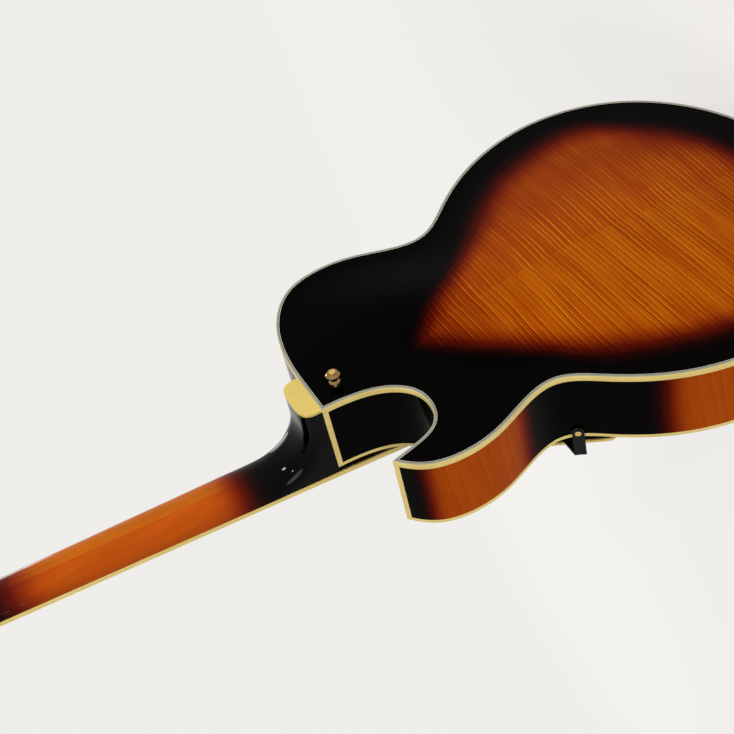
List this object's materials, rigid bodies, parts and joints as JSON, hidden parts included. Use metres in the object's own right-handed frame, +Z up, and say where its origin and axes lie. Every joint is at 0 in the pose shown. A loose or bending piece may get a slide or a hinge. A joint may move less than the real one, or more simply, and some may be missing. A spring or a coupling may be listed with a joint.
{
  "type": "archtop guitar",
  "caption": "Hollow archtop electric guitar with a pointed cutaway, arched flamed back, bound edges, floating bridge, trapeze tailpiece and turning tuners.",
  "frame": {"origin": "middle of the neck's thickness at the nut, where a wall hanger's yoke carries the guitar", "axes": "+Z up the neck towards the headstock, +X towards the treble side, -Y towards the strings and front, +Y towards the back"},
  "size_m": [0.409, 0.1411, 1.0692],
  "materials": {
    "flamed_maple": "clear gloss over a dark-edged amber burst",
    "top_wood": "clear gloss over a dark-edged amber burst",
    "cream_trim": "polished",
    "pale_wood": "raw",
    "neck_wood": "clear gloss",
    "dark_wood": "oiled",
    "pearl": "polished",
    "steel": "polished",
    "black_plastic": "polished",
    "gold_metal": "polished plating"
  },
  "bodies": {
    "guitar": {"back_bass_half": "flamed_maple", "back_binding": "cream_trim", "back_treble_half": "flamed_maple", "body_blocks": "pale_wood", "bridge_base": "dark_wood", "bridge_posts": "steel", "corner_bindings": "cream_trim", "fasteners": "gold_metal", "fingerboard": "dark_wood", "fingerboard_binding": "cream_trim", "frets": "steel", "headstock_veneer": "black_plastic", "heel_cap": "cream_trim", "kerfed_linings": "pale_wood", "neck": "neck_wood", "nut": "cream_trim", "output_jack": "gold_metal", "pickguard": "black_plastic", "pickguard_bracket": "black_plastic", "pickup_coils": "black_plastic", "pickup_covers": "gold_metal", "pickup_rings": "black_plastic", "position_markers": "pearl", "potentiometers": "steel", "rib_bass": "flamed_maple", "rib_cutaway": "flamed_maple", "rib_treble": "flamed_maple", "strap_buttons": "gold_metal", "strings": "steel", "switch_body": "steel", "tailpiece_bracket": "gold_metal", "tailpiece_frame": "gold_metal", "tone_bars": "pale_wood", "top_bass_half": "top_wood", "top_binding": "cream_trim", "top_treble_half": "top_wood", "truss_rod": "steel", "truss_rod_cover": "black_plastic", "tuner_bushings": "gold_metal", "tuner_housings": "gold_metal"},
    "tuner_key_1": {"tuner_key_1": "gold_metal"},
    "string_post_1": {"string_post_1": "gold_metal"},
    "tuner_key_2": {"tuner_key_2": "gold_metal"},
    "string_post_2": {"string_post_2": "gold_metal"},
    "tuner_key_3": {"tuner_key_3": "gold_metal"},
    "string_post_3": {"string_post_3": "gold_metal"},
    "tuner_key_4": {"tuner_key_4": "gold_metal"},
    "string_post_4": {"string_post_4": "gold_metal"},
    "tuner_key_5": {"tuner_key_5": "gold_metal"},
    "string_post_5": {"string_post_5": "gold_metal"},
    "tuner_key_6": {"tuner_key_6": "gold_metal"},
    "string_post_6": {"string_post_6": "gold_metal"},
    "knob_neck_volume": {"knob_neck_volume": "black_plastic"},
    "knob_neck_tone": {"knob_neck_tone": "black_plastic"},
    "knob_bridge_volume": {"knob_bridge_volume": "black_plastic"},
    "knob_bridge_tone": {"knob_bridge_tone": "black_plastic"},
    "switch_lever": {"switch_lever": "black_plastic"},
    "bridge_saddle": {"bridge_saddle": "dark_wood"},
    "bridge_wheel_bass": {"bridge_wheel_bass": "gold_metal"},
    "bridge_wheel_treble": {"bridge_wheel_treble": "gold_metal"}
  },
  "joints": [
    {"name": "key_1_turn", "type": "hinge", "parent": "guitar", "child": "tuner_key_1", "pos_m": [-0.02018, 0.02967, 0.04525], "axis": [-1, 0, 0], "continuous": true},
    {"name": "post_1_turn", "type": "hinge", "parent": "guitar", "child": "string_post_1", "pos_m": [-0.02018, 0.00984, 0.04462], "axis": [0, -0.9438, 0.3305], "continuous": true},
    {"name": "key_2_turn", "type": "hinge", "parent": "guitar", "child": "tuner_key_2", "pos_m": [-0.02276, 0.04355, 0.08489], "axis": [-1, 0, 0], "continuous": true},
    {"name": "post_2_turn", "type": "hinge", "parent": "guitar", "child": "string_post_2", "pos_m": [-0.02276, 0.02372, 0.08426], "axis": [0, -0.9438, 0.3305], "continuous": true},
    {"name": "key_3_turn", "type": "hinge", "parent": "guitar", "child": "tuner_key_3", "pos_m": [-0.02535, 0.05743, 0.12453], "axis": [-1, 0, 0], "continuous": true},
    {"name": "post_3_turn", "type": "hinge", "parent": "guitar", "child": "string_post_3", "pos_m": [-0.02535, 0.03761, 0.1239], "axis": [0, -0.9438, 0.3305], "continuous": true},
    {"name": "key_4_turn", "type": "hinge", "parent": "guitar", "child": "tuner_key_4", "pos_m": [0.02535, 0.05743, 0.12453], "axis": [1, 0, 0], "continuous": true},
    {"name": "post_4_turn", "type": "hinge", "parent": "guitar", "child": "string_post_4", "pos_m": [0.02535, 0.03761, 0.1239], "axis": [0, -0.9438, 0.3305], "continuous": true},
    {"name": "key_5_turn", "type": "hinge", "parent": "guitar", "child": "tuner_key_5", "pos_m": [0.02276, 0.04355, 0.08489], "axis": [1, 0, 0], "continuous": true},
    {"name": "post_5_turn", "type": "hinge", "parent": "guitar", "child": "string_post_5", "pos_m": [0.02276, 0.02372, 0.08426], "axis": [0, -0.9438, 0.3305], "continuous": true},
    {"name": "key_6_turn", "type": "hinge", "parent": "guitar", "child": "tuner_key_6", "pos_m": [0.02018, 0.02967, 0.04525], "axis": [1, 0, 0], "continuous": true},
    {"name": "post_6_turn", "type": "hinge", "parent": "guitar", "child": "string_post_6", "pos_m": [0.02018, 0.00984, 0.04462], "axis": [0, -0.9438, 0.3305], "continuous": true},
    {"name": "neck_volume_turn", "type": "hinge", "parent": "guitar", "child": "knob_neck_volume", "pos_m": [0.104, -0.0469, -0.69913], "axis": [0, -1, 0], "range_deg": [-140, 140]},
    {"name": "neck_tone_turn", "type": "hinge", "parent": "guitar", "child": "knob_neck_tone", "pos_m": [0.092, -0.0469, -0.74313], "axis": [0, -1, 0], "range_deg": [-140, 140]},
    {"name": "bridge_volume_turn", "type": "hinge", "parent": "guitar", "child": "knob_bridge_volume", "pos_m": [0.148, -0.0469, -0.71313], "axis": [0, -1, 0], "range_deg": [-140, 140]},
    {"name": "bridge_tone_turn", "type": "hinge", "parent": "guitar", "child": "knob_bridge_tone", "pos_m": [0.134, -0.0469, -0.75713], "axis": [0, -1, 0], "range_deg": [-140, 140]},
    {"name": "selector_flip", "type": "hinge", "parent": "guitar", "child": "switch_lever", "pos_m": [-0.092, -0.03431, -0.42313], "axis": [1, 0, 0], "range_deg": [-12, 12]},
    {"name": "saddle_lift", "type": "slide", "parent": "guitar", "child": "bridge_saddle", "axis": [0, -1, 0], "range_m": [-0.0014, 0.0035], "deforming": ["strings"]},
    {"name": "wheel_bass_turn", "type": "hinge", "parent": "bridge_saddle", "child": "bridge_wheel_bass", "pos_m": [-0.037, -0.0599, -0.62596], "axis": [0, -1, 0], "range_deg": [-715, 1795]},
    {"name": "wheel_treble_turn", "type": "hinge", "parent": "bridge_saddle", "child": "bridge_wheel_treble", "pos_m": [0.037, -0.0599, -0.62596], "axis": [0, -1, 0], "range_deg": [-720, 1800]}
  ],
  "couplings": [
    {"joint": "post_1_turn", "follows": "key_1_turn", "ratio": -0.071429},
    {"joint": "post_2_turn", "follows": "key_2_turn", "ratio": -0.071429},
    {"joint": "post_3_turn", "follows": "key_3_turn", "ratio": -0.071429},
    {"joint": "post_4_turn", "follows": "key_4_turn", "ratio": 0.071429},
    {"joint": "post_5_turn", "follows": "key_5_turn", "ratio": 0.071429},
    {"joint": "post_6_turn", "follows": "key_6_turn", "ratio": 0.071429},
    {"joint": "saddle_lift", "follows": "wheel_bass_turn", "m_per_rad": 0.00011141},
    {"joint": "wheel_treble_turn", "follows": "wheel_bass_turn", "ratio": 1}
  ]
}
